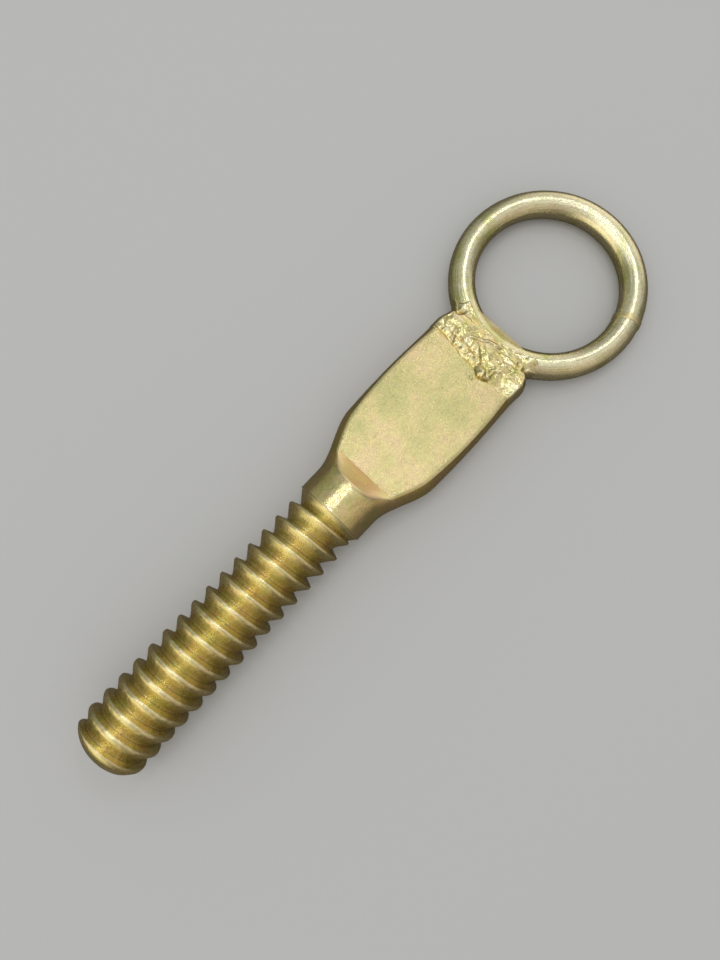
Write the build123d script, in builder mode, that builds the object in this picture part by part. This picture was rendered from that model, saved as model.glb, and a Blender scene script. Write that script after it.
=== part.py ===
from build123d import *
import os
from math import atan, cos, degrees, radians, sin, tan

# A forged and welded eye bolt, lying on its side. All sizes are in millimetres.
# The origin is on the shank's axis, at the neck shoulder where the thread begins.
# +X runs along the axis towards the ring, and +Z is square to the paddle's flats.

# round bar that the shank is forged from, and its plain neck
neck_radius = 16.0
neck_length = 8.0

# thread: right-hand, single start, with its steep flank facing the ring
thread_pitch = 8.0
thread_turns = 16.5
whole_turns = 16                # from the thread's start at the nose to its first crest
ridge_height = 4.16
crest_land = 1.1
ring_side_flank = 70.0          # degrees from the axis
nose_side_flank = 39.5
ridge_sink = 0.8                # the ridge's foot, buried in the core
first_crest_x = -6.25           # where the crest nearest the neck crosses the top line
crest_radius_at_neck = 15.2
crest_radius_at_nose = 16.15
core_radius_at_neck = 11.04
core_radius_at_nose = 12.84
thread_neck_x = -4.0            # the thread sizes above hold at these two places
thread_nose_x = -122.0
shoulder_flank = ((-5.4, core_radius_at_neck), (-0.6, 15.0), (0, 15.0), (0, neck_radius))

# domed nose: places along the axis with their radii, for the core and for the crests
nose_tip_x = -132.6
core_dome = ((-130.9, 8.0), (-128.3, 11.3))
crest_dome = ((-130.2, 11.0), (-127.6, 14.0))
crest_dome_end = (thread_nose_x, 17.0)
dome_end_rise = 0.1             # slopes of the two dome curves where they end
core_dome_end_rise = -0.015

# paddle: the bar pressed flat between two dies
paddle_thickness = 16.0
die_edge_x = 21.6               # where the sloped facet meets the flat
facet_angle = 46.0
edge_round = 0.4

# how the body grows out of the round neck: each change with the stretch of x it takes
body_radius = 15.95             # a hair under the neck, which ends in a clean step
width_changes = ((8.4, (10, 38)), (0.6, (30, 55)), (-0.95, (60, 96)))
depth_changes = ((-2.75, (12, 21.6)), (6.5, (16, 64)), (-2.2, (70, 88)))
body_root = 0.1                 # how far the body starts inside the neck's end
station_spacing = 2.0           # the body is drawn as ovals at even steps along the axis
stations = 45

# ring, bent from round bar and butt-welded at its seam
ring_bar_radius = 6.0
ring_bend_radius = 38.0
ring_centre_x = 140.0
seam_angle = -74.0              # from +X, seen from above
seam_width_angle = 4.0
seam_crown = 0.25
seam_round = 0.22

# weld preparation at the paddle's end
root_gap = 0.6
bevel_start_x = 87.0
tip_land = 1.5                  # half thickness left at the squared tip
front_toe_skew = 4.0            # degrees that each bevel leans across the paddle
back_toe_skew = -3.0

# weld beads: cross-section as distance past the toe and height above the mid plane,
# and the outline seen from above
bead_crown = ((2.6, 9.2), (8.5, 9.0), (13.0, 7.5), (17.0, 6.1), (22.0, 4.0))
bead_tail = (81.0, 23.9)
bead_shoulder = (91.0, 24.0)
bead_waist = (100.0, 22.3)
bead_flare_tip = (110.0, 31.0)
bead_edge_round = 1.5
bead_reach = 1.0                # how far the bead laps past the ring's crown line

paddle_half = paddle_thickness / 2
paddle_end_x = ring_centre_x - ring_bend_radius - ring_bar_radius - root_gap
bevel_angle = degrees(atan((paddle_half - tip_land) / (paddle_end_x - bevel_start_x)))
waste = 40.0                    # cutting shapes are drawn this far past the metal
facet_top_x = die_edge_x - waste / tan(radians(facet_angle))


def ease(x, start, end):
    """Climbs smoothly from 0 at start to 1 at end."""
    share = min(max((x - start) / (end - start), 0), 1)
    return share * share * (3 - 2 * share)


def body_section(x):
    """Half width and half depth of the body at x, before the flats are pressed."""
    return (
        body_radius + sum(change * ease(x, *span) for change, span in width_changes),
        body_radius + sum(change * ease(x, *span) for change, span in depth_changes),
    )


def skewed_side_plane(face_side, toe_skew):
    """Side-view plane at the bevel's start, turned so that the toe leans across the paddle."""
    lean = radians(toe_skew)
    return Plane(
        origin=(bevel_start_x, 0, face_side * paddle_half),
        x_dir=(cos(lean), sin(lean), 0),
        z_dir=(sin(lean), -cos(lean), 0),
    )


# ---------------------------------------------------------------- threaded shank
crest_slope = (crest_radius_at_neck - crest_radius_at_nose) / (thread_neck_x - thread_nose_x)
ridge_start_x = first_crest_x - whole_turns * thread_pitch
ridge_foot_radius = (
    crest_radius_at_neck + (ridge_start_x - thread_neck_x) * crest_slope - ridge_height
)
nose_side_run = ridge_height / tan(radians(nose_side_flank))
ring_side_run = ridge_height / tan(radians(ring_side_flank))

with BuildPart() as threaded_shank:
    # thread ridge, wound on a slightly tapered helix that starts at the top
    with BuildLine() as ridge_path:
        Helix(
            pitch=thread_pitch,
            height=thread_turns * thread_pitch,
            radius=ridge_foot_radius,
            center=(ridge_start_x, 0, 0),
            direction=(1, 0, 0),
            cone_angle=degrees(atan(crest_slope)),
        )
    with BuildSketch(Plane(origin=ridge_path.line @ 0, x_dir=(1, 0, 0), z_dir=(0, -1, 0))):
        with BuildLine():
            Polyline(
                (-nose_side_run, -ridge_sink),
                (-nose_side_run, 0),
                (0, ridge_height),
                (crest_land, ridge_height),
                (crest_land + ring_side_run, 0),
                (crest_land + ring_side_run, -ridge_sink),
                close=True,
            )
        make_face()
    sweep(path=ridge_path.line, is_frenet=True)

    # the first turns are rounded off with the nose
    with BuildSketch(Plane.XZ):
        with BuildLine():
            Spline(
                (nose_tip_x, 0), *crest_dome, crest_dome_end,
                tangents=[(0, 1), (1, dome_end_rise)],
            )
            Polyline(
                crest_dome_end,
                (crest_dome_end[0], waste),
                (neck_length, waste),
                (neck_length, 0),
                (nose_tip_x, 0),
            )
        make_face()
    revolve(axis=Axis.X, mode=Mode.INTERSECT)

    # core under the thread, with its domed end, the shoulder and the plain neck
    with BuildSketch(Plane.XZ):
        with BuildLine():
            Spline(
                (nose_tip_x, 0), *core_dome, (thread_nose_x, core_radius_at_nose),
                tangents=[(0, 1), (1, core_dome_end_rise)],
            )
            Polyline(
                (thread_nose_x, core_radius_at_nose),
                *shoulder_flank,
                (neck_length, neck_radius),
                (neck_length, 0),
                (nose_tip_x, 0),
            )
        make_face()
    revolve(axis=Axis.X)

    # paddle body before pressing, rooted in the round neck and flaring out of it
    for station in range(stations):
        x = neck_length - body_root + station * station_spacing
        with BuildSketch(Plane.YZ.offset(x)):
            Ellipse(*body_section(x))
    loft()

    # squared tip, just short of the ring
    with BuildSketch(Plane.YZ.offset(paddle_end_x)):
        Rectangle(2 * waste, 2 * waste)
    extrude(amount=waste, mode=Mode.SUBTRACT)

    # flats with their sloped facets, then the weld bevels, on both faces
    for face_side, toe_skew in ((1, front_toe_skew), (-1, back_toe_skew)):
        with BuildSketch(Plane.XZ):
            with BuildLine():
                Polyline(
                    (die_edge_x, face_side * paddle_half),
                    (facet_top_x, face_side * (paddle_half + waste)),
                    (paddle_end_x + waste, face_side * (paddle_half + waste)),
                    (paddle_end_x + waste, face_side * paddle_half),
                    close=True,
                )
            make_face()
        extrude(amount=waste, both=True, mode=Mode.SUBTRACT)
        with BuildSketch(skewed_side_plane(face_side, toe_skew)):
            with BuildLine():
                Polyline(
                    (0, 0),
                    (waste, -face_side * waste * tan(radians(bevel_angle))),
                    (waste, face_side * waste),
                    (0, face_side * waste),
                    close=True,
                )
            make_face()
        extrude(amount=waste, both=True, mode=Mode.SUBTRACT)

    # long edges where the flats meet the paddle's rounded sides
    flat_length = bevel_start_x - die_edge_x
    fillet(
        threaded_shank.edges().filter_by(
            lambda edge: round(abs(edge.center().Z), 2) == paddle_half and edge.length > flat_length / 2
        ),
        edge_round,
    )

threaded_shank.part.label = "threaded_shank"

# ---------------------------------------------------------------- ring and its seam
ring_centre = (ring_centre_x, 0, 0)
seam_start = seam_angle - seam_width_angle / 2
seam_end = seam_angle + seam_width_angle / 2


def bar_section_plane(angle):
    """Plane across the ring's bar at an angle from +X, with its x pointing out of the ring."""
    turn = radians(angle)
    return Plane(
        origin=(ring_centre_x + ring_bend_radius * cos(turn), ring_bend_radius * sin(turn), 0),
        x_dir=(cos(turn), sin(turn), 0),
        z_dir=(sin(turn), -cos(turn), 0),
    )


with BuildPart() as eye_ring:
    with BuildSketch(bar_section_plane(seam_end)):
        Circle(ring_bar_radius)
    revolve(axis=Axis(ring_centre, (0, 0, 1)), revolution_arc=360 - seam_width_angle)

eye_ring.part.label = "eye_ring"

with BuildPart() as ring_seam_weld:
    with BuildSketch(bar_section_plane(seam_start)):
        Circle(ring_bar_radius + seam_crown)
    revolve(axis=Axis(ring_centre, (0, 0, 1)), revolution_arc=seam_width_angle)
    fillet(ring_seam_weld.edges().filter_by(GeomType.CIRCLE), seam_round)

ring_seam_weld.part.label = "ring_seam_weld"


# ---------------------------------------------------------------- weld beads
def weld_bead(face_side, toe_skew, label):
    """One bead, filling the bevel between the paddle and the ring on one face."""
    bead_length = bead_flare_tip[0] - bevel_start_x
    with BuildPart() as bead:
        # crown of the bead in side view, carried right across the paddle
        with BuildSketch(skewed_side_plane(face_side, toe_skew)):
            with BuildLine():
                toe = (0, 0)
                crown = [(along, face_side * (up - paddle_half)) for along, up in bead_crown]
                mid_height = -face_side * paddle_half
                Spline(toe, *crown)
                Polyline(crown[-1], (crown[-1][0], mid_height), (0, mid_height), toe)
            make_face()
        extrude(amount=waste, both=True)

        # trimmed to its outline: level with the paddle's sides, then flaring along the ring
        with BuildSketch(Plane.XY):
            with BuildLine():
                for hand in (1, -1):
                    Spline(*[
                        (x, hand * half_width)
                        for x, half_width in (bead_tail, bead_shoulder, bead_waist, bead_flare_tip)
                    ])
                for x, half_width in (bead_tail, bead_flare_tip):
                    Line((x, half_width), (x, -half_width))
            make_face()
        extrude(amount=face_side * waste, mode=Mode.INTERSECT)
        fillet(
            bead.edges().filter_by(
                lambda edge: edge.length > bead_length / 2
                and abs(edge.center().Y) > neck_radius
                and abs(edge.center().Z) > paddle_half / 2
            ),
            bead_edge_round,
        )

        # kept out of the ring's hole, and off the metal that it joins
        with BuildSketch(Plane.XY):
            with Locations(ring_centre):
                Circle(ring_bend_radius - bead_reach)
        extrude(amount=face_side * waste, mode=Mode.SUBTRACT)
        add(threaded_shank.part, mode=Mode.SUBTRACT)
        add(eye_ring.part, mode=Mode.SUBTRACT)
    bead.part.label = label
    return bead


front_weld_bead = weld_bead(1, front_toe_skew, "front_weld_bead")
back_weld_bead = weld_bead(-1, back_toe_skew, "back_weld_bead")

os.makedirs("parts", exist_ok=True)
export_step(threaded_shank.part, "parts/threaded_shank.step")
export_step(eye_ring.part, "parts/eye_ring.step")
export_step(ring_seam_weld.part, "parts/ring_seam_weld.step")
export_step(front_weld_bead.part, "parts/front_weld_bead.step")
export_step(back_weld_bead.part, "parts/back_weld_bead.step")
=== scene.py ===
from math import asin, atan2, copysign, cos, degrees, hypot, pi, radians, sin, sqrt, tan

import bmesh
import bpy
from mathutils import Matrix, Vector, noise


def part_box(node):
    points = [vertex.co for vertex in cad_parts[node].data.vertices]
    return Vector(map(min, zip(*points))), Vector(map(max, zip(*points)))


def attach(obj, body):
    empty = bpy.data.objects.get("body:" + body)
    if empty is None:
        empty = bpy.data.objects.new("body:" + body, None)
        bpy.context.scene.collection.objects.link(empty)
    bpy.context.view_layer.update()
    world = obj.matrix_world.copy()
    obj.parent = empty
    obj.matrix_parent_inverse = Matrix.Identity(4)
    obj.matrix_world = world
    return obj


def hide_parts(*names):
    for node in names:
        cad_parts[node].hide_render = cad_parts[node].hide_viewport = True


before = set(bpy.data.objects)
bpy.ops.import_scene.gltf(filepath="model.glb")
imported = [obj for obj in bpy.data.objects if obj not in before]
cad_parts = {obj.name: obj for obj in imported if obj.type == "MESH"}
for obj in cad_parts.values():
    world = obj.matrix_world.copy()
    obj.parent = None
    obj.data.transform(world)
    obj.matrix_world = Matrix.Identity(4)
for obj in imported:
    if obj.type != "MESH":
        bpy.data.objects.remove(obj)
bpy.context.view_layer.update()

MM = 0.001


def box_mm(node):
    """Lowest and highest corner of a CAD node, in millimetres."""
    return [Vector(corner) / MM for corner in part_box(node)]


ring_high = box_mm("eye_ring")[1]
shank_low, shank_high = box_mm("threaded_shank")

# ring, as the CAD has it
bar_radius = ring_high.z
ring_outer = ring_high.y
bend_radius = ring_outer - bar_radius
ring_centre_x = ring_high.x - ring_outer

# thread and nose
nose_tip_x = shank_low.x
pitch = 8.0
first_crest_x = -5.7            # middle of the crest nearest the neck, on the top line
thread_neck_x, thread_nose_x = -4.0, -122.0
crest_radii = (15.2, 16.15)     # beside the neck, beside the nose
core_radii = (11.04, 12.84)
crest_lands = (0.9, 1.9)
crest_rounds = (0.3, 0.7)
nose_side_slope, ring_side_slope = tan(radians(39.5)), tan(radians(70))
shoulder_foot_x, shoulder_top_x, shoulder_top_radius = -5.4, -0.3, 15.25
crest_dome_radius = 16.8
nose_fullness = 2.45            # exponent of the nose's curve: 2 would be an ellipse

# neck, facets and paddle
neck_radius = 16.0
neck_length = 8.0
neck_lip = ((0.15, 15.3), (0.35, 16.06), (0.8, 16.0))     # places along the axis with their radii
facet_apex_x = 14.1             # middle of a facet's curved lower edge
facet_corner_x = 15.0           # where that edge turns up the facet's sides
facet_corner_heights = ((15.0, 12.3), (18.3, 10.0), (21.6, 8.0))
die_edge_x = 21.6
paddle_half = 8.0
paddle_end_x = shank_high.x
edge_inset = 0.12               # how far a pressed edge is worn back
edge_band = 0.35

# mesh resolution
columns = 192                   # round the shank
flat_columns = 56               # of those, across each flat
row_step = 0.7
merge_distance = 0.002          # points closer than this are one point
sliver_length = 0.001


# ---------------------------------------------------------------- shared shape helpers
def ease(value, start=0.0, end=1.0):
    """Climbs smoothly from 0 at start to 1 at end."""
    share = min(max((value - start) / (end - start), 0.0), 1.0)
    return share * share * (3 - 2 * share)


def mix(first, second, share):
    return first + (second - first) * share


def soft_min(first, second, width):
    """The lower of two heights, rounded off where they cross."""
    share = min(max(0.5 + 0.5 * (second - first) / width, 0.0), 1.0)
    return mix(second, first, share) - width * share * (1 - share)


def soft_max(first, second, width):
    return -soft_min(-first, -second, width)


def along(x, points):
    """Height at x on a smooth curve through (x, height) points."""
    if x <= points[0][0]:
        return points[0][1]
    for (x0, y0), (x1, y1) in zip(points, points[1:]):
        if x <= x1:
            return mix(y0, y1, ease(x, x0, x1) * 0.5 + 0.5 * (x - x0) / (x1 - x0))
    return points[-1][1]


def wobble(point, size, seed=0.0):
    """Smooth noise of about -1 to 1, whose lumps are about size millimetres across."""
    return noise.noise(Vector(point) / size + Vector((seed, 1.7 * seed, -seed)))


class Skin:
    """Collects a closed mesh in millimetres, with a UV map that follows the metal's grain."""

    def __init__(self):
        self.points, self.faces, self.grain, self.finish = [], [], [], []

    def point(self, x, y, z):
        self.points.append((x * MM, y * MM, z * MM))
        return len(self.points) - 1

    def face(self, corners, grain, finish=0):
        self.faces.append(corners)
        self.grain.append(grain)
        self.finish.append(finish)

    def build(self, name, materials, nodes, sharp_angle=38):
        """Makes the visible piece and lets it take the place of its CAD nodes."""
        mesh = bpy.data.meshes.new(name)
        mesh.from_pydata(self.points, [], self.faces)
        layer = mesh.uv_layers.new(name="grain")
        layer.data.foreach_set("uv", [v for face in self.grain for corner in face for v in corner])
        mesh.polygons.foreach_set("material_index", self.finish)
        shape = bmesh.new()
        shape.from_mesh(mesh)
        bmesh.ops.remove_doubles(shape, verts=shape.verts, dist=merge_distance * MM)
        bmesh.ops.dissolve_degenerate(shape, edges=shape.edges, dist=sliver_length * MM)
        bmesh.ops.recalc_face_normals(shape, faces=shape.faces)
        for face in shape.faces:
            face.smooth = True
        for edge in shape.edges:
            edge.smooth = len(edge.link_faces) == 2 and edge.calc_face_angle() < radians(sharp_angle)
        shape.to_mesh(mesh)
        shape.free()
        piece = bpy.data.objects.new(name, mesh)
        bpy.context.scene.collection.objects.link(piece)
        for material in materials:
            mesh.materials.append(material)
        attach(piece, "root")
        if nodes:
            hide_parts(*nodes)
        return piece


# ---------------------------------------------------------------- materials
black, white = (0, 0, 0), (1, 1, 1)


def make_material(name):
    """A new material with an empty node tree."""
    material = bpy.data.materials.new(name)
    material.use_nodes = True
    material.node_tree.nodes.clear()
    return material, material.node_tree


def node(tree, kind, inputs=None, **settings):
    """Adds a shader node; inputs may be values or other nodes' sockets."""
    made = tree.nodes.new("ShaderNode" + kind)
    for key, value in settings.items():
        setattr(made, key, value)
    for key, value in (inputs or {}).items():
        if isinstance(value, bpy.types.NodeSocket):
            tree.links.new(value, made.inputs[key])
        else:
            made.inputs[key].default_value = value
    return made


def math(tree, operation, *values, clamp=False):
    made = node(tree, "Math", dict(enumerate(values)), operation=operation, use_clamp=clamp)
    return made.outputs[0]


def dot(tree, first, second):
    made = node(tree, "VectorMath", {0: first, 1: second}, operation="DOT_PRODUCT")
    return made.outputs["Value"]


def grey(tree, shade):
    return node(tree, "CombineColor", {0: shade, 1: shade, 2: shade}).outputs[0]


def ramp(tree, value, stops):
    """Colour ramp of (position, colour) stops."""
    made = node(tree, "ValToRGB", {"Fac": value})
    elements = made.color_ramp.elements
    while len(elements) < len(stops):
        elements.new(0.5)
    for element, (position, colour) in zip(elements, stops):
        element.position = position
        element.color = (*colour, 1.0)
    return made.outputs[0]


def blend_colour(tree, mode, share, first, second):
    """Mixes two colours, each a value or a socket, in one of Blender's blend modes."""
    made = node(tree, "Mix", data_type="RGBA", blend_type=mode)
    for index, value in ((0, share), (6, first), (7, second)):
        socket = made.inputs[index]
        if isinstance(value, bpy.types.NodeSocket):
            tree.links.new(value, socket)
        else:
            socket.default_value = value if isinstance(value, float) else (*value, 1.0)
    return made.outputs[2]


def speckle(tree, place, size, detail=3.0, roughness=0.55, stretch=(1, 1, 1)):
    """Noise of 0 to 1 with lumps of about size millimetres."""
    scaled = node(tree, "Mapping", {"Vector": place, "Scale": [s / size for s in stretch]})
    made = node(
        tree, "TexNoise",
        {"Vector": scaled.outputs[0], "Scale": 1.0, "Detail": detail, "Roughness": roughness},
    )
    return made.outputs["Fac"]


# tints of the plating, and the colours of the painted grazing shade, the painted hollow shade and the
# painted crest highlight; pale is also the painted highlight colour on edges and proud parts
gold, olive, straw = (0.80, 0.66, 0.25), (0.62, 0.57, 0.20), (0.85, 0.75, 0.38)
leaf, rose, grazing_shade_bronze = (0.62, 0.66, 0.27), (0.84, 0.62, 0.38), (0.46, 0.36, 0.14)
sage, wheat, blush = (0.47, 0.44, 0.20), (0.58, 0.50, 0.24), (0.63, 0.50, 0.28)
pale, crest_highlight_cream, hollow_shade_tint = (0.90, 0.86, 0.60), (0.93, 0.84, 0.54), (0.52, 0.44, 0.30)


def crest_wear_and_highlight(tree, place):
    """How pale the crests are painted, from 0 in the grooves to 1 in patches along the thread's crests:
    partly worn plating, partly a painted crest highlight.
    """
    axes = node(tree, "SeparateXYZ", {0: place}).outputs
    squares = [math(tree, "MULTIPLY", axes[k], axes[k]) for k in (1, 2)]
    out = math(tree, "SQRT", math(tree, "ADD", *squares))
    taper = (crest_radii[1] - crest_radii[0]) / (thread_nose_x - thread_neck_x)
    crest = math(tree, "MULTIPLY_ADD", axes[0], taper, crest_radii[0] - thread_neck_x * taper)
    below = math(tree, "SUBTRACT", out, crest)
    patches = speckle(tree, place, 1.6, 4.0, 0.65)
    nearness = math(tree, "MULTIPLY_ADD", below, 2.4, -0.75)
    return math(tree, "MULTIPLY_ADD", patches, 2.4, nearness, clamp=True)


def plated_tint(tree, place, tints, drift_size, iridescence):
    """The plating's drifting tints, under a green and rose bloom."""
    low, middle, high = tints
    drift = speckle(tree, place, drift_size, 4.0)
    colour = ramp(tree, drift, [(0.36, low), (0.5, middle), (0.64, high)])
    bloom = speckle(tree, place, 5.0, 5.0, 0.65)
    bloom = ramp(tree, bloom, [(0.36, leaf), (0.5, middle), (0.64, rose)])
    return blend_colour(tree, "MIX", iridescence, colour, bloom)


def painted_relief_light(tree, colour, pointiness, contrast):
    """Painted shade where the surface is hollow, painted highlight where it stands proud."""
    spread = 0.08 / contrast
    hollow = ramp(tree, pointiness, [(0.5 - spread, hollow_shade_tint), (0.5, white)])
    proud = ramp(tree, pointiness, [(0.505, black), (0.5 + spread, white)])
    colour = blend_colour(tree, "MULTIPLY", 0.8, colour, hollow)
    return blend_colour(tree, "MIX", math(tree, "MULTIPLY", proud, 0.7), colour, pale)


def rounded_edges_painted_highlight(tree, colour, geometry, radius):
    """Colour and normal with every outer edge rounded off, and painted pale along it as an edge highlight.
    """
    rounded = node(tree, "Bevel", {"Radius": radius * MM}, samples=3).outputs[0]
    painted_edge_highlight = math(tree, "MULTIPLY_ADD", dot(tree, rounded, geometry["Normal"]), -9.0, 8.8, clamp=True)
    outer = ramp(tree, geometry["Pointiness"], [(0.5, black), (0.52, white)])
    painted_edge_highlight = math(tree, "MULTIPLY", painted_edge_highlight, outer)
    colour = blend_colour(tree, "MIX", math(tree, "MULTIPLY", painted_edge_highlight, 0.85), colour, pale)
    return colour, rounded


def bumped(tree, strength, distance, height, normal):
    inputs = {"Strength": strength, "Distance": distance * MM, "Height": height, "Normal": normal}
    return node(tree, "Bump", inputs).outputs[0]


def zinc(
    name, tints, roughness, streak=0.5, grain=0.5, grain_size=0.35, iridescence=0.4,
    drift_size=15.0, edge_round=0.0, worn=False, relief_contrast=1.0,
):
    """Yellow zinc plating: drifting tints, green and rose bloom, grain and drawn streaks, with painted
    shade in hollows and at grazing angles, and painted highlights on proud parts, outer edges and, when
    worn, the crests.
    """
    material, tree = make_material(name)
    place = node(tree, "TexCoord").outputs["Object"]
    place = node(tree, "Mapping", {"Vector": place, "Scale": [1 / MM] * 3}).outputs[0]
    lay = node(tree, "UVMap", uv_map="grain").outputs[0]
    geometry = node(tree, "NewGeometry").outputs
    streaks = speckle(tree, lay, 0.5, 4.0, 0.6, (0.03, 1.0, 1.0))
    fine = speckle(tree, place, grain_size, 4.0, 0.7)

    shade = math(tree, "MULTIPLY_ADD", fine, 0.9 * grain, 1.0 - 0.45 * grain)
    streak_shade = math(tree, "MULTIPLY_ADD", streaks, 0.5 * streak, 1 - 0.25 * streak)
    shade = grey(tree, math(tree, "MULTIPLY", shade, streak_shade))
    colour = plated_tint(tree, place, tints, drift_size, iridescence)
    colour = blend_colour(tree, "MULTIPLY", 1.0, colour, shade)
    # worn paints the crests pale: partly worn plating, partly a painted crest highlight
    if worn:
        crest_highlight_share = math(tree, "MULTIPLY", crest_wear_and_highlight(tree, place), 0.7)
        colour = blend_colour(tree, "MIX", crest_highlight_share, colour, crest_highlight_cream)
    # painted shade in hollows and painted highlight on proud parts, by pointiness
    colour = painted_relief_light(tree, colour, geometry["Pointiness"], relief_contrast)
    normal = geometry["Normal"]
    # edge_round also paints a pale highlight along the rounded outer edges
    if edge_round:
        colour, normal = rounded_edges_painted_highlight(tree, colour, geometry, edge_round)
    # painted shade: the colour turns darker bronze where the surface turns away from the camera
    painted_grazing_shade = node(tree, "LayerWeight", {"Blend": 0.35}).outputs["Facing"]
    colour = blend_colour(tree, "MIX", math(tree, "MULTIPLY", painted_grazing_shade, 0.35), colour, grazing_shade_bronze)

    # the three variations average out, so the mean stays at the roughness asked for
    matt = roughness - 0.11 - 0.08 * streak - 0.07 * grain
    matt = math(tree, "MULTIPLY_ADD", speckle(tree, place, 3.0, 4.0, 0.6), 0.22, matt)
    matt = math(tree, "MULTIPLY_ADD", streaks, 0.16 * streak, matt)
    matt = math(tree, "MULTIPLY_ADD", fine, 0.14 * grain, matt, clamp=True)
    normal = bumped(tree, 0.5 * streak, 0.05, streaks, normal)
    normal = bumped(tree, 0.6 * grain, 0.10, fine, normal)
    metal = node(
        tree, "BsdfPrincipled",
        {"Base Color": colour, "Metallic": 1.0, "Roughness": matt, "Normal": normal},
    )
    node(tree, "OutputMaterial", {"Surface": metal.outputs[0]})
    return material


thread_zinc = zinc(
    "thread_zinc", (gold, straw, gold), 0.28, streak=1.3, grain=1.0, grain_size=0.9, iridescence=0.5,
    drift_size=8.0, edge_round=0.4, worn=True,
)
neck_zinc = zinc(
    "neck_zinc", (olive, straw, rose), 0.17, streak=0.9, grain=0.9, grain_size=1.1, iridescence=0.6,
    drift_size=6.0, edge_round=0.4,
)
facet_zinc = zinc(
    "facet_zinc", (straw, rose, straw), 0.30, streak=0.15, grain=0.3, iridescence=0.2, edge_round=0.4
)
flat_zinc = zinc(
    "flat_zinc", (sage, wheat, blush), 0.24, streak=0.6, grain=1.6, grain_size=0.8, iridescence=0.12,
    drift_size=12.0, edge_round=0.4,
)
side_zinc = zinc(
    "side_zinc", (olive, gold, rose), 0.26, streak=0.6, grain=0.5, grain_size=0.8, edge_round=0.4
)
ring_zinc = zinc(
    "ring_zinc", (leaf, pale, pale), 0.22, streak=2.2, grain=0.9, grain_size=0.9, iridescence=0.3
)
seam_zinc = zinc("seam_zinc", (gold, straw, pale), 0.34, streak=0.2, grain=0.9, grain_size=0.6)
# the weld's relief_contrast of 2 sharpens its painted hollow shade and proud highlight
weld_zinc = zinc(
    "weld_zinc", (olive, straw, pale), 0.20, streak=0.1, grain=0.9, grain_size=0.8, iridescence=0.35,
    drift_size=6.0, relief_contrast=2.0,
)


# ---------------------------------------------------------------- threaded shank
def thread_wear(x):
    """0 at the neck's end of the thread, 1 at its nose end."""
    return min(max((x - thread_neck_x) / (thread_nose_x - thread_neck_x), 0.0), 1.0)


def thread_radius(offset, x, turn):
    """Radius of the thread at a distance past its crest, at x, at an angle on the helix."""
    worn = thread_wear(x)
    core, land = mix(*core_radii, worn), mix(*crest_lands, worn)
    rounding = mix(*crest_rounds, worn)
    place = (x, core * cos(turn), core * sin(turn))
    depth = mix(*crest_radii, worn) - core
    depth *= 1 - 0.8 * ease(turn, 0.5 * pi, 2.1 * pi)       # the ridge fades out at the neck
    depth += 0.10 * wobble(place, 7.0) + (0.05 + 0.10 * worn) * wobble(place, 1.6, 3.0)
    nose_flank = depth + (offset + land / 2) * nose_side_slope
    ring_flank = depth - (offset - land / 2) * ring_side_slope
    height = soft_min(depth, soft_min(nose_flank, ring_flank, rounding), rounding)
    radius = core + soft_max(height, 0.0, 0.9)
    shoulder = core_radii[0] + (x - shoulder_foot_x) * nose_side_slope
    radius = soft_max(radius, shoulder, 0.4)
    if x < thread_nose_x:
        past = min((thread_nose_x - x) / (thread_nose_x - nose_tip_x), 1.0)
        radius = soft_min(radius, crest_dome_radius * sqrt(1 - past * past), 0.8)
        radius = max(radius, core_radii[1] * (1 - past ** nose_fullness) ** (1 / nose_fullness))
    return radius


def profile_offsets(x):
    """Places across one pitch, from the root past the crest to the next root."""
    worn = thread_wear(x)
    half = mix(*crest_lands, worn) / 2
    nose_side = [-half - step for step in (4.6, 3.9, 3.2, 2.5, 1.8, 1.2, 0.8, 0.5, 0.25, 0.0)]
    ring_side = [half + step for step in (0.0, 0.12, 0.26, 0.45, 0.65, 0.85)]
    root = [mix(-5.95, nose_side[0], k / 3) for k in range(3)]
    return [*root, *nose_side, -half / 2, 0.0, half / 2, *ring_side, 1.82]


def add_thread(skin):
    """The thread as one strip wound along its helix, with its ends gathered at nose and neck."""
    grain_radius = 14
    once_round = 2 * pi * grain_radius
    first_step = -int((abs(nose_tip_x) / pitch + 1.5) * columns)
    last_step = columns // 4 + int(1.6 * columns)
    count = len(profile_offsets(0.0))
    index = {}
    for step in range(first_step, last_step + 1):
        turn = 2 * pi * step / columns
        crest_x = first_crest_x + pitch * (turn / (2 * pi) - 0.25)
        for place, offset in enumerate(profile_offsets(crest_x)):
            x = crest_x + offset
            if x >= shoulder_top_x:
                x, radius = shoulder_top_x, shoulder_top_radius
            elif x <= nose_tip_x:
                x, radius = nose_tip_x, 0.0
            else:
                radius = min(thread_radius(offset, x, turn), shoulder_top_radius if x > -1.2 else 99)
            index[step, place] = (
                skin.point(x, radius * cos(turn), radius * sin(turn)), turn * grain_radius, offset
            )
    for step in range(first_step, last_step):
        for place in range(count):
            corners = []
            for ahead, up in ((0, 0), (1, 0), (1, 1), (0, 1)):
                key = (step + ahead, place + up)
                wrapped = key[1] == count
                if wrapped:
                    key = (key[0] + columns, 0)
                if key not in index:
                    break
                point, along_turn, offset = index[key]
                if wrapped:
                    along_turn, offset = along_turn - once_round, offset + pitch
                corners.append((point, (along_turn, offset)))
            if len(corners) == 4:
                skin.face([c[0] for c in corners], [c[1] for c in corners], 0)


def body_section(x):
    """Half width and half depth of the forging at x, before its flats."""
    width = neck_radius + 8.4 * ease(x, 10, 38) + 0.6 * ease(x, 30, 55) - 0.95 * ease(x, 60, 96)
    depth = neck_radius - 2.8 * ease(x, 12, 21.6) + 6.5 * ease(x, 16, 64) - 2.2 * ease(x, 70, 88)
    return width, depth


def oval_height(x, y):
    width, depth = body_section(x)
    return depth * sqrt(max(1 - (y / width) ** 2, 0.0))


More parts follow.
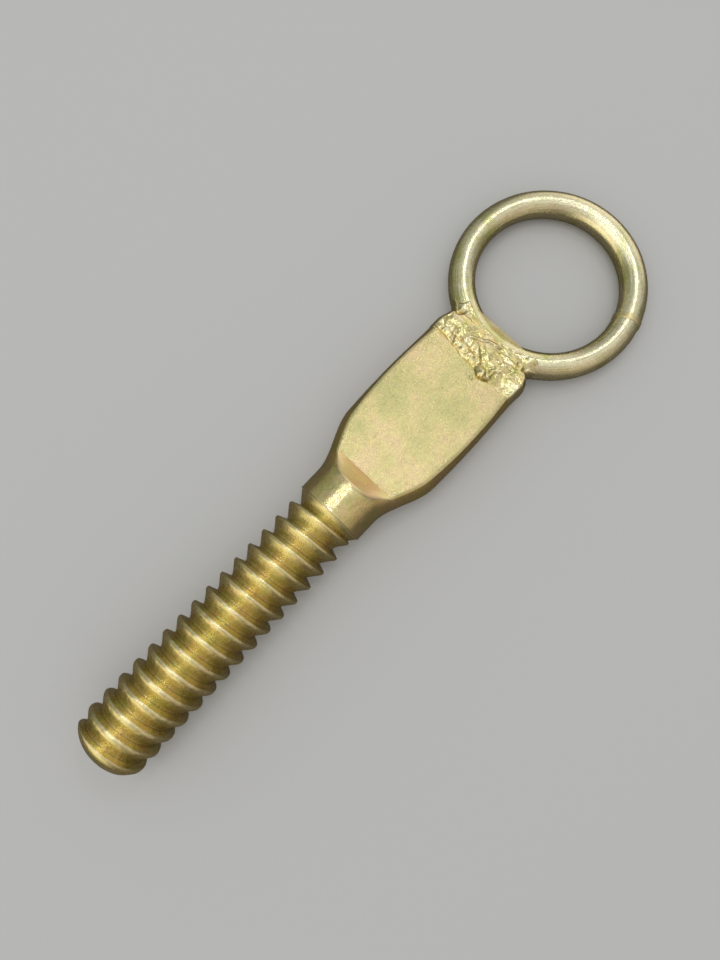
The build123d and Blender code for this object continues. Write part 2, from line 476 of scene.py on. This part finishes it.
def oval_point(x, angle):
    """Point of the forging's oval at an angle from level."""
    width, depth = body_section(x)
    return width * cos(angle), depth * sin(angle)


def corner_height(x):
    """Height of the corner between the pressed face and the forging's side."""
    return along(x, facet_corner_heights) if x < die_edge_x else paddle_half


def corner_angle(station):
    """Angle from level at which the pressed face meets the forging's side."""
    pressed = max(station, facet_corner_x)
    pressed_angle = asin(min(corner_height(pressed) / body_section(pressed)[1], 1.0))
    neck_angle = pi / 2 - pi * flat_columns / columns
    return mix(neck_angle, pressed_angle, ease(station, neck_length, facet_corner_x))


def facet_edge_x(y):
    """Where the facet's curved lower edge lies at a distance from the middle."""
    corner_y = oval_point(facet_corner_x, corner_angle(facet_corner_x))[0]
    return mix(facet_apex_x, facet_corner_x, (y / corner_y) ** 2)


def pressed_point(station, share, edge_x):
    """Point of the upper face, at a share of the way from its middle to its corner."""
    half_width = oval_point(station, corner_angle(station))[0]
    y = share * half_width
    if station <= facet_corner_x:
        lead = max(station - neck_length, 0.0) / (facet_corner_x - neck_length)
        x = station if station < neck_length else mix(neck_length, edge_x, lead)
        round_y = oval_point(x, pi / 2 - abs(share) * (pi / 2 - corner_angle(station)))[0]
        y = mix(copysign(round_y, share), y, ease(lead))
        return x, y, oval_height(x, y)
    if station < die_edge_x:
        lead = (station - facet_corner_x) / (die_edge_x - facet_corner_x)
        edge_y = share * oval_point(facet_corner_x, corner_angle(facet_corner_x))[0]
        height = mix(oval_height(edge_x, edge_y), paddle_half, lead)
        rise = corner_height(station) - mix(corner_height(facet_corner_x), paddle_half, lead)
        return mix(edge_x, die_edge_x, lead), y, height + rise * share ** 4
    return station, y, paddle_half


def add_body(skin):
    """Neck, facets and paddle as rings of points, joined to the thread's last edge."""
    quarter, half_flat = columns // 4, flat_columns // 2
    side = columns // 2 - flat_columns
    edge_share = 1 - edge_band / 15
    shares = [k / half_flat for k in range(half_flat - 1)] + [edge_share, 1.0]
    corner_y = oval_point(facet_corner_x, corner_angle(facet_corner_x))[0]
    edges = [facet_edge_x(share * corner_y) for share in shares]
    side_shares = [0.0, 0.012] + [k / (side - 2) for k in range(1, side - 2)] + [0.988, 1.0]

    stations = [1.5]
    while stations[-1] < paddle_end_x - row_step:
        stations.append(stations[-1] + row_step)
    for exact in (neck_length, facet_corner_x, die_edge_x, paddle_end_x):
        near = min(range(len(stations)), key=lambda k: abs(stations[k] - exact))
        stations[near] = exact
    fold = stations.index(die_edge_x)
    stations[fold:fold + 1] = [die_edge_x - 0.2, die_edge_x, die_edge_x + 0.2]

    def ring_point(station, column):
        pressed = None
        for centre, up in ((quarter, 1), (3 * quarter, -1)):
            if abs(column - centre) <= half_flat:
                step = (centre - column) * up
                share = copysign(shares[abs(step)], step)
                x, y, z = pressed_point(station, share, edges[abs(step)])
                if abs(step) == half_flat and station > facet_corner_x:
                    y, z = y - copysign(edge_inset, y), z - edge_inset
                pressed = (x, y, z * up)
        if pressed:
            x, y, z = pressed
        else:
            hand = -1 if column > quarter and column < 3 * quarter else 1
            start = quarter + half_flat if hand < 0 else 3 * quarter + half_flat
            share = side_shares[(column - start) % columns]
            angle = corner_angle(station) * (1 - 2 * share) * -hand
            y, z = oval_point(station, angle)
            x, y = station, y * hand
        radius = hypot(y, z)
        swell = 0.05 * wobble((x, y, z), 9.0, 5.0) + 0.02 * wobble((x, y, z), 2.5, 8.0)
        swell *= ease(station, 0.0, 2.0)
        return x, y * (1 + swell / radius), z * (1 + swell / radius)

    loops = []
    for x, radius in ((shoulder_top_x, shoulder_top_radius), *neck_lip):
        loops.append((x, [
            skin.point(x, radius * cos(2 * pi * c / columns), radius * sin(2 * pi * c / columns))
            for c in range(columns)
        ]))
    for station in stations:
        loops.append((station, [skin.point(*ring_point(station, c)) for c in range(columns)]))

    for (x0, first), (x1, second) in zip(loops, loops[1:]):
        for c in range(columns):
            following = (c + 1) % columns
            middle = c + 0.5
            pressed = min(abs(middle - quarter), abs(middle - 3 * quarter)) < half_flat
            if x1 <= neck_lip[1][0]:
                finish = 0
            elif x1 <= facet_corner_x:
                finish = 1
            elif pressed:
                finish = 2 if x1 <= die_edge_x else 3
            else:
                finish = 4
            across = 2 * pi * neck_radius / columns
            skin.face(
                [first[c], first[following], second[following], second[c]],
                [(x0, c * across), (x0, (c + 1) * across), (x1, (c + 1) * across), (x1, c * across)],
                finish,
            )
    skin.face(loops[-1][1], [(0.0, 0.0)] * columns, 4)


shank_skin = Skin()
add_thread(shank_skin)
add_body(shank_skin)
shank_skin.build(
    "shank", [thread_zinc, neck_zinc, facet_zinc, flat_zinc, side_zinc],
    ["threaded_shank"],
)


# ---------------------------------------------------------------- ring
ring_steps, bar_steps = 540, 64
seam_angle = -74                # from +X, seen from above


def add_ring(skin):
    """The bent bar, with a pitted stretch beside its seam."""
    for step in range(ring_steps):
        turn = 2 * pi * step / ring_steps
        for place in range(bar_steps):
            angle = 2 * pi * place / bar_steps
            reach = bend_radius + bar_radius * cos(angle)
            spot = (ring_centre_x + reach * cos(turn), reach * sin(turn), bar_radius * sin(angle))
            from_seam = abs((degrees(turn) - seam_angle + 180) % 360 - 180)
            pitted = ease(from_seam, 26, 4)
            swell = 0.04 * wobble(spot, 10.0, 2.0) + (0.015 + 0.07 * pitted) * wobble(spot, 1.8, 6.0)
            radius = bar_radius - 0.05 + swell
            reach = bend_radius + radius * cos(angle)
            skin.point(ring_centre_x + reach * cos(turn), reach * sin(turn), radius * sin(angle))
    for step in range(ring_steps):
        for place in range(bar_steps):
            corners, grain = [], []
            for ahead, up in ((0, 0), (1, 0), (1, 1), (0, 1)):
                corners.append((step + ahead) % ring_steps * bar_steps + (place + up) % bar_steps)
                grain.append((
                    (step + ahead) * 2 * pi * bend_radius / ring_steps,
                    (place + up) * 2 * pi * bar_radius / bar_steps,
                ))
            skin.face(corners, grain)


ring_skin = Skin()
add_ring(ring_skin)
ring_skin.build("ring", [ring_zinc], ["eye_ring"])

seam_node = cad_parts["ring_seam_weld"]
seam_node.data.materials.clear()
seam_node.data.materials.append(seam_zinc)


# ---------------------------------------------------------------- weld beads
# across and along: where the toe of the front bead crosses the paddle, as (y, x)
front_toe = (
    (-24, 85.9), (-17, 85.4), (-11, 85.0), (-8, 83.9), (-6, 83.6), (-3.5, 85.3), (0, 85.8),
    (4, 85.7), (8.6, 86.8), (12, 87.3), (15.7, 87.9), (24, 88.7),
)
back_toe = (
    (-24, 87.6), (-18, 87.0), (-12, 87.4), (-6, 86.5), (0, 86.9),
    (7, 86.2), (13, 86.6), (18, 85.7), (24, 85.6),
)
# outlines seen from above, as (x, half width): level with the paddle, a waist, then the ring
left_outline = (
    (84, 23.9), (91, 24.1), (93.5, 24.1), (97, 22.9), (100.8, 22.1), (103, 23.6), (105, 25.9), (108, 28.6),
)
right_outline = (
    (84, 23.9), (90, 24.3), (94, 24.6), (97, 23.6), (100.3, 21.0), (103, 23.2), (105, 25.8), (108, 28.5),
)
# crown height against distance past the toe
bead_crown = (
    (-0.6, 7.4), (-0.1, 7.8), (0.6, 8.6), (2.6, 9.05), (8.5, 8.9), (13, 7.6), (17, 6.3), (22, 5.2),
)
bead_wall = 2.6                 # how far the side walls round over
bead_foot = 0.6                 # how far the bead starts before its toe
bead_half_width = 21.5
bead_end_reach = 35.6           # distance from the ring's centre at which it stops, inside the bar
bead_end_x = 108.0
weld_sharp_angle = 60
bead_rows, bead_columns, wall_steps = 130, 170, 12

# surface features: lumps as (x, y, half length, half width, height), and runs of metal or
# creases as (points, half width, height)
front_lumps = (
    (85.9, -5.4, 1.6, 1.5, 1.1), (86.4, -8.4, 1.6, 1.8, 1.0), (84.6, -6.9, 1.0, 1.5, 0.8),
    (89.0, 19.4, 1.3, 1.6, 0.8), (89.4, 15.9, 1.2, 1.5, 0.8), (88.2, 13.2, 0.9, 1.0, 0.5),
    (93.5, 17.5, 2.0, 2.2, 0.5), (98.4, 15.0, 2.2, 3.4, 0.6), (93.8, 11.0, 1.8, 1.8, 0.4),
    (88.8, -16.3, 2.0, 5.0, -0.55), (94.2, -15.5, 1.2, 3.4, -0.35), (103.2, 19.5, 1.8, 2.4, 0.5),
)
front_runs = (
    (((89.2, 12.6), (88.8, 8), (88.4, 3), (88.1, -1), (87.7, -3.8)), 1.6, 1.2),
    (((91.2, 20.8), (90.9, 16.5), (90.8, 13.2), (91.4, 9), (91.3, 5), (90.8, 1)), 0.6, -0.5),
    (((89.8, -3.6), (91.0, -1.6), (92.6, 0.2), (95.0, 1.7)), 0.45, -0.6),
    (((95.0, 8.5), (96.4, 5), (98.6, 1.3), (100.4, -2.5), (101.6, -5.6), (101.9, -8.5)), 0.5, 0.6),
    (((87.0, -10.8), (89.4, -10.0), (91.2, -9.0)), 0.7, 0.5),
    (((91.2, -9.0), (91.9, -12), (92.6, -19)), 0.8, 0.45),
    (((95.4, -6.5), (96.4, -12), (97.0, -18.5)), 0.7, 0.5),
    (((98.9, -4.5), (99.5, -10), (99.2, -15.5)), 0.6, 0.4),
    (((101.3, 19.0), (102.0, 16.5), (102.5, 13.5)), 0.6, -0.25),
)
back_lumps = (
    (88.6, -17.0, 1.6, 2.2, 0.8), (88.0, -9.0, 1.7, 2.4, 0.7), (88.4, -1.5, 1.5, 2.2, 0.8),
    (87.6, 6.0, 1.6, 2.4, 0.7), (87.9, 13.5, 1.6, 2.2, 0.8), (87.2, 19.5, 1.4, 1.8, 0.6),
    (96.5, -14.0, 2.4, 3.0, 0.5), (95.8, 3.0, 2.2, 3.4, 0.5), (97.5, 12.5, 2.0, 3.0, 0.6),
)
back_runs = tuple(
    (((91.2 + lean, y - 1.6), (93.4 + lean, y), (96.4 + lean, y + 1.4)), 0.5, -0.4)
    for y, lean in ((-18, 0.4), (-12.5, -0.3), (-7.5, 0.2), (-2, 0.5), (3.5, -0.2), (9, 0.3), (14.5, 0.0))
) + ((((99.5, -15), (101.8, -8), (102.4, 0), (101.9, 8), (99.8, 15)), 0.6, 0.4),)


def off_run(x, y, points):
    """Distance of (x, y) from a line through points, and how far inside its ends, from 0 to 1."""
    nearest, inside = 1e9, 0.0
    last = len(points) - 2
    for leg, ((x0, y0), (x1, y1)) in enumerate(zip(points, points[1:])):
        share = ((x - x0) * (x1 - x0) + (y - y0) * (y1 - y0)) / ((x1 - x0) ** 2 + (y1 - y0) ** 2)
        share = min(max(share, 0.0), 1.0)
        away = hypot(x - mix(x0, x1, share), y - mix(y0, y1, share))
        if away < nearest:
            nearest = away
            inside = min(1.0 if leg else 2 * share, 1.0 if leg < last else 2 * (1 - share), 1.0)
    return nearest, inside


def share_on_ring(reach, swing):
    """How far the bead has passed from the paddle on to the ring, from 0 to 1."""
    outer_wall, inner_wall = ease(reach, 46, 41.5), ease(reach, 38.2, 36.8)
    return max(ease(swing, 29, 34), outer_wall * max(ease(swing, 21, 28), inner_wall))


def height_on_ring(reach, swing):
    """Height of the weld metal that covers the ring's bar and fills the corner beside it."""
    bar = sqrt(max(bar_radius ** 2 - (reach - bend_radius) ** 2, 0.0))
    fillet = (4.8 - 0.7 * (reach - 42)) * (1 - ease(swing, 27, 36))
    bar = max(bar, mix(bar, fillet, ease(reach, 40.5, 42.5)))
    return bar + 0.45 - 1.6 * ease(reach, 37.4, 35.8) - 2.4 * ease(swing, 29, 38)


def warped(value, x, y, levels, seed, offset):
    """A coordinate pushed about, so that lumps and runs get uneven outlines."""
    coarse, fine = levels
    value += offset * wobble((x, y, coarse), 3.5, seed)
    return value + 0.15 * wobble((x, y, fine), 1.2, seed + 2)


def bead_features(x, y, lumps, runs, seed):
    """Height that the bead's lumps, runs and creases add at (x, y)."""
    height = 0.0
    warp_x = warped(x, x, y, (3.0, 5.0), seed + 10, 0.7)
    warp_y = warped(y, x, y, (7.0, 9.0), seed + 14, 0.9)
    for lump_x, lump_y, length, width, rise in lumps:
        spread = ((warp_x - lump_x) / length) ** 2 + ((warp_y - lump_y) / width) ** 2
        if spread < 4:
            height += rise * (1 - ease(spread, 0.0, 4.0)) ** 1.5
    for points, width, rise in runs:
        away, inside = off_run(warp_x, warp_y, points)
        if away < 2 * width:
            patchy = 0.75 + 0.6 * wobble((x, y, 2.0), 2.0, seed + 18)
            height += rise * patchy * ease(inside) * (1 - ease(away / width, 0.0, 2.0))
    return height


def bead_texture(x, y, seed):
    """Ripples all over the bead, smears on its right and a weave on its left."""
    spot = (x, y, seed)
    ripple = 0.30 * wobble(spot, 3.6, seed) + 0.12 * wobble(spot, 1.6, seed + 2)
    ripple += 0.05 * wobble(spot, 0.8, seed + 1)
    smear = 0.20 * wobble((x, y / 5, seed), 1.5, seed + 3) * ease(y, -5, -9)
    weave = 0.18 * abs(wobble((x, y, 4.0), 1.8, seed + 4)) * ease(y, -6, 2) * ease(x, 89, 92)
    return ripple + smear - weave


def bead_height(x, y, toe, lumps, runs, seed):
    """Height of the bead's surface above the mid plane."""
    past = x - along(y, toe)
    crown = along(past + 0.25 * wobble((x, y, seed), 2.2, seed + 8), bead_crown)
    reach = hypot(x - ring_centre_x, y)
    swing = degrees(atan2(abs(y), ring_centre_x - x)) + 4 * wobble((x, y, seed), 2.5, seed + 6)
    height = mix(crown, height_on_ring(reach, swing), share_on_ring(reach, swing))
    rough = ease(past, -0.5, 0.5)
    return height + rough * (bead_features(x, y, lumps, runs, seed) + bead_texture(x, y, seed))


def add_bead(skin, side, toe, lumps, runs, seed):
    """The bead as rows of arches: wall, crown, wall, closed along the mid plane."""
    loops = []
    for row in range(bead_rows + 1):
        loop = []
        for column in range(-bead_columns // 2 - wall_steps, bead_columns // 2 + wall_steps + 1):
            hand = 1 if column >= 0 else -1
            level = min(abs(column) / (bead_columns / 2), 1.0)
            wall = max(abs(column) - bead_columns // 2, 0) / wall_steps
            across = level * bead_half_width
            start = along(hand * across, toe) - bead_foot
            end = min(ring_centre_x - sqrt(bead_end_reach ** 2 - across ** 2), bead_end_x)
            x = mix(start, end, row / bead_rows)
            outline = along(x, left_outline if hand > 0 else right_outline)
            crown_y = hand * level * (outline - bead_wall)
            top = bead_height(x, crown_y, toe, lumps, runs, seed)
            turn = wall * pi / 2
            y = crown_y + hand * bead_wall * sin(turn)
            z = top * cos(turn)
            if wall > 0:
                y += hand * 0.25 * sin(turn) * wobble((x, hand * 30, z), 2.4, seed)
            loop.append(skin.point(x, y, side * z))
        loops.append(loop)
    width = len(loops[0])
    for row in range(bead_rows):
        for column in range(width):
            following = (column + 1) % width
            near, far = loops[row], loops[row + 1]
            corners = [near[column], near[following], far[following], far[column]]
            grain = [(row * 0.2, column * 0.3), (row * 0.2, (column + 1) * 0.3)]
            skin.face(corners, grain + [(row * 0.2 + 0.2, g[1]) for g in reversed(grain)])
    for loop in (loops[0], loops[-1]):
        skin.face(loop, [(0.0, 0.0)] * width)


def add_spatter(skin, x, y, radius):
    """A droplet of weld metal frozen on the flat."""
    around, up = 28, 9
    rows = []
    for level in range(up):
        lift = -0.5 + level * (pi / 2 + 0.45) / (up - 1)
        row = []
        for place in range(around):
            turn = 2 * pi * place / around
            spot = (cos(lift) * cos(turn), cos(lift) * sin(turn), sin(lift))
            size = radius * (1 + 0.12 * wobble(spot, 0.9, 7.0))
            z = paddle_half + 0.2 + size * spot[2]
            row.append(skin.point(x + size * spot[0], y + size * spot[1], z))
        rows.append(row)
    for lower, upper in zip(rows, rows[1:]):
        for place in range(around):
            following = (place + 1) % around
            skin.face(
                [lower[place], lower[following], upper[following], upper[place]],
                [(place, 0.0), (place + 1, 0.0), (place + 1, 1.0), (place, 1.0)],
            )
    skin.face(rows[0], [(0.0, 0.0)] * around)
    skin.face(rows[-1], [(0.0, 0.0)] * around)


for name, side, toe, lumps, runs, seed in (
    ("front_weld", 1, front_toe, front_lumps, front_runs, 11.0),
    ("back_weld", -1, back_toe, back_lumps, back_runs, 23.0),
):
    bead_skin = Skin()
    add_bead(bead_skin, side, toe, lumps, runs, seed)
    bead_skin.build(name, [weld_zinc], [name + "_bead"], weld_sharp_angle)
spatter_skin = Skin()
add_spatter(spatter_skin, 82.0, -4.7, 0.85)
spatter_skin.build("spatter", [weld_zinc], [], weld_sharp_angle)


# ---------------------------------------------------------------- floor, light and camera
def place_stage():
    """A pale floor that the bolt rests on, touching it at its nose crests and its ring."""
    nose_contact = Vector((thread_nose_x, 0, -crest_radii[1] - 0.1))
    ring_contact = Vector((ring_centre_x + bend_radius, 0, -bar_radius))
    fall = atan2(ring_contact.z - nose_contact.z, ring_contact.x - nose_contact.x)
    mesh = bpy.data.meshes.new("floor")
    half = 3.0
    corners = [(-half, -half, 0), (half, -half, 0), (half, half, 0), (-half, half, 0)]
    mesh.from_pydata(corners, [], [(0, 1, 2, 3)])
    floor = bpy.data.objects.new("floor", mesh)
    floor.matrix_world = Matrix.Translation(nose_contact * MM) @ Matrix.Rotation(-fall, 4, "Y")
    bpy.context.scene.collection.objects.link(floor)
    material, tree = make_material("floor_paint")
    glossy = node(tree, "LightPath").outputs["Is Glossy Ray"]
    paint = blend_colour(tree, "MIX", glossy, (0.62, 0.62, 0.61), (0.15, 0.13, 0.10))
    surface = node(tree, "BsdfPrincipled", {"Base Color": paint, "Roughness": 0.75})
    node(tree, "OutputMaterial", {"Surface": surface.outputs[0]})
    mesh.materials.append(material)


def add_light(name, direction, distance, size, power, long_axis=(0, 1, 0)):
    """A soft rectangular lamp that faces the bolt from a direction, long side along long_axis."""
    lamp = bpy.data.lights.new(name, "AREA")
    lamp.shape = "RECTANGLE"
    lamp.size, lamp.size_y = size
    lamp.energy = power
    holder = bpy.data.objects.new(name, lamp)
    away = Vector(direction).normalized()
    side = Vector(long_axis).cross(away).normalized()
    turn = Matrix((side, away.cross(side), away)).transposed()
    holder.matrix_world = Matrix.Translation(away * distance) @ turn.to_4x4()
    bpy.context.scene.collection.objects.link(holder)


def place_lights():
    """A pale room that the metal sees as dim walls under a bright ceiling, and four lamps."""
    world = bpy.data.worlds.new("studio")
    world.use_nodes = True
    tree = world.node_tree
    tree.nodes.clear()
    ray = node(tree, "NewGeometry").outputs["Incoming"]

    def towards(direction):
        return dot(tree, ray, list(-Vector(direction).normalized()))

    overhead = math(tree, "MULTIPLY_ADD", towards((0.38, 0.05, 0.92)), 0.5, 0.5)
    seen_in_metal = ramp(tree, overhead, [
        (0.50, (0.10, 0.09, 0.07)), (0.76, (0.20, 0.195, 0.18)),
        (0.91, (0.40, 0.40, 0.39)), (0.98, (0.66, 0.66, 0.64)),
    ])
    for direction, faint, full, colour in (
        ((-1, 0.18, 0.10), 0.68, 0.98, (0.95, 0.84, 0.60)),
        ((-0.72, 0.10, 0.68), 0.78, 1.0, (0.45, 0.43, 0.36)),
        ((1, 0.10, 0.15), 0.80, 0.98, (0.85, 0.76, 0.64)),
        ((-0.1, -0.80, 0.60), 0.60, 1.0, (0.34, 0.27, 0.20)),
        ((-0.1, 0.90, 0.25), 0.70, 1.0, (0.14, 0.15, 0.10)),
    ):
        wall = ramp(tree, towards(direction), [(faint, black), (full, colour)])
        seen_in_metal = blend_colour(tree, "ADD", 1.0, seen_in_metal, wall)
    glossy = node(tree, "LightPath").outputs["Is Glossy Ray"]
    sky = blend_colour(tree, "MIX", glossy, (0.62, 0.62, 0.62), seen_in_metal)
    glow = node(tree, "Background", {"Color": sky, "Strength": 1.0})
    node(tree, "OutputWorld", {"Surface": glow.outputs[0]})
    bpy.context.scene.world = world
    # name, direction, distance in metres, sides in metres, power in watts
    add_light("tube_lamp", (0.075, 0.28, 0.95), 1.3, (0.04, 0.26), 0.34, (-0.2, 0.98, 0))
    add_light("glare_lamp", (0.175, 0.035, 0.98), 1.3, (0.06, 0.05), 0.44)
    add_light("ring_lamp", (0.52, 0.16, 0.84), 1.3, (0.10, 0.10), 0.45)
    add_light("soft_box", (-0.32, 0.24, 0.90), 1.6, (0.8, 0.8), 2.0)


def place_camera():
    """The viewing angle: from above the shank, looking slightly along to the ring."""
    lens = bpy.data.cameras.new("camera")
    lens.sensor_fit = "AUTO"
    lens.sensor_width = 36.0
    lens.lens = 26.0
    holder = bpy.data.objects.new("camera", lens)
    forward = Vector((0.120, 0.1025, -0.9875)).normalized()
    up = Vector((0.719, 0.676, 0.158))
    right = forward.cross(up).normalized()
    up = right.cross(forward)
    turn = Matrix((right, up, -forward)).transposed()
    holder.matrix_world = Matrix.Translation(Vector((-15.6, -29.5, 288.2)) * MM) @ turn.to_4x4()
    lens.clip_start, lens.clip_end = 0.01, 20.0
    bpy.context.scene.collection.objects.link(holder)
    bpy.context.scene.camera = holder


bpy.context.scene.view_settings.view_transform = "Standard"
place_stage()
place_lights()
place_camera()
